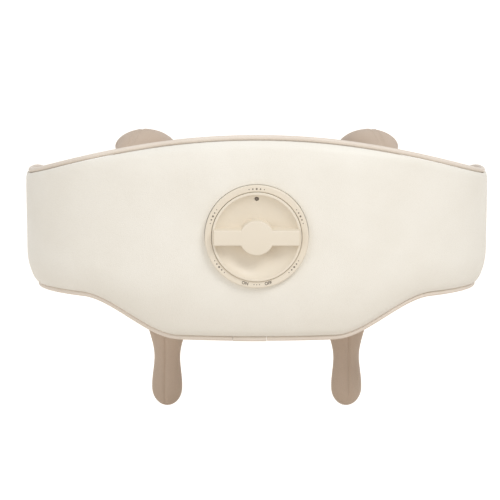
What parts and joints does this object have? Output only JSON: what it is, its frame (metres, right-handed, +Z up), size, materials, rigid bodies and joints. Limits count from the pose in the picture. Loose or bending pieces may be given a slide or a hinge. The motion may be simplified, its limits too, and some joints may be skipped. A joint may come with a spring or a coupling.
{
  "type": "neck massager",
  "caption": "Curved, piped neck and shoulder massager with a rotary dial, kneading discs and padded arms that hang over the shoulders.",
  "frame": {"origin": "under the tops of the two arms, midway between them, where the wearer's shoulders carry the massager", "axes": "+Z up as worn, +X to the right as seen from behind the wearer, +Y from the dial towards the wearer and on to the arms' ends"},
  "size_m": [0.38, 0.1958, 0.2537],
  "materials": {
    "cream_leather": "smooth matt grain",
    "taupe_leather": "smooth matt grain",
    "piping_leather": "smooth matt",
    "cream_plastic": "satin",
    "taupe_plastic": "satin",
    "dark_print": "matt",
    "inner_plastic": "matt",
    "gearbox_plastic": "matt",
    "acetal": "satin",
    "steel": "plain",
    "brass": "turned",
    "silicone": "matt",
    "carrier_plastic": "satin",
    "circuit_board": "satin",
    "cell_wrap": "satin",
    "foam": "open cell"
  },
  "bodies": {
    "cushion": {"outer_cover": "cream_leather", "inner_lining": "taupe_leather", "edge_piping": "piping_leather", "piping_tab": "piping_leather", "rear_shell": "inner_plastic", "front_frame": "inner_plastic", "dial_bezel": "cream_plastic", "switch_nut": "brass", "rotary_switch": "gearbox_plastic", "control_board": "circuit_board", "battery_cell_upper": "cell_wrap", "battery_cell_lower": "cell_wrap", "battery_holder": "gearbox_plastic", "port_housing": "taupe_plastic", "usb_socket": "steel", "case_screw_1": "steel", "case_screw_2": "steel", "case_screw_3": "steel", "case_screw_4": "steel", "wing_foam_left": "foam", "opening_ring_left": "carrier_plastic", "output_bush_left": "brass", "gearbox_left": "gearbox_plastic", "gearbox_lid_left": "gearbox_plastic", "motor_left": "steel", "hinge_bracket_left": "steel", "hinge_pin_left": "steel", "hinge_washer_left_1": "acetal", "hinge_washer_left_2": "acetal", "bracket_screw_left_1": "steel", "bracket_screw_left_2": "steel", "wing_foam_right": "foam", "opening_ring_right": "carrier_plastic", "output_bush_right": "brass", "gearbox_right": "gearbox_plastic", "gearbox_lid_right": "gearbox_plastic", "motor_right": "steel", "hinge_bracket_right": "steel", "hinge_pin_right": "steel", "hinge_washer_right_1": "acetal", "hinge_washer_right_2": "acetal", "bracket_screw_right_1": "steel", "bracket_screw_right_2": "steel"},
    "dial_knob": {"knob": "cream_plastic", "indicator_dot": "dark_print", "switch_shaft": "steel"},
    "rotor_left": {"kneading_disc_left": "carrier_plastic", "kneading_head_left_1": "silicone", "kneading_head_left_2": "silicone", "worm_wheel_left": "acetal"},
    "worm_shaft_left": {"worm_left": "brass"},
    "arm_left": {"arm_sleeve_left": "taupe_leather", "arm_core_left": "inner_plastic"},
    "rotor_right": {"kneading_disc_right": "carrier_plastic", "kneading_head_right_1": "silicone", "kneading_head_right_2": "silicone", "worm_wheel_right": "acetal"},
    "worm_shaft_right": {"worm_right": "brass"},
    "arm_right": {"arm_sleeve_right": "taupe_leather", "arm_core_right": "inner_plastic"}
  },
  "joints": [
    {"name": "knob_turn", "type": "hinge", "parent": "cushion", "child": "dial_knob", "pos_m": [0, -0.09572, -0.0476], "axis": [0, 1, 0], "range_deg": [-165, 165]},
    {"name": "rotor_right_spin", "type": "hinge", "parent": "cushion", "child": "rotor_right", "pos_m": [0.0595, -0.09069, -0.0476], "axis": [-0.171, 0.9853, 0], "continuous": true},
    {"name": "rotor_left_spin", "type": "hinge", "parent": "cushion", "child": "rotor_left", "pos_m": [-0.0595, -0.09069, -0.0476], "axis": [0.171, 0.9853, 0], "continuous": true},
    {"name": "worm_right_spin", "type": "hinge", "parent": "cushion", "child": "worm_shaft_right", "pos_m": [0.07442, -0.05968, -0.0476], "axis": [0, 0, 1], "continuous": true},
    {"name": "worm_left_spin", "type": "hinge", "parent": "cushion", "child": "worm_shaft_left", "pos_m": [-0.07442, -0.05968, -0.0476], "axis": [0, 0, 1], "continuous": true},
    {"name": "arm_right_lift", "type": "hinge", "parent": "cushion", "child": "arm_right", "pos_m": [0.106, -0.04872, -0.0066], "axis": [0.9744, 0.225, 0], "range_deg": [-8, 30]},
    {"name": "arm_left_lift", "type": "hinge", "parent": "cushion", "child": "arm_left", "pos_m": [-0.106, -0.04872, -0.0066], "axis": [0.9744, -0.225, 0], "range_deg": [-8, 30]}
  ],
  "couplings": [
    {"joint": "worm_right_spin", "follows": "rotor_right_spin", "ratio": 30},
    {"joint": "worm_left_spin", "follows": "rotor_left_spin", "ratio": -30}
  ]
}
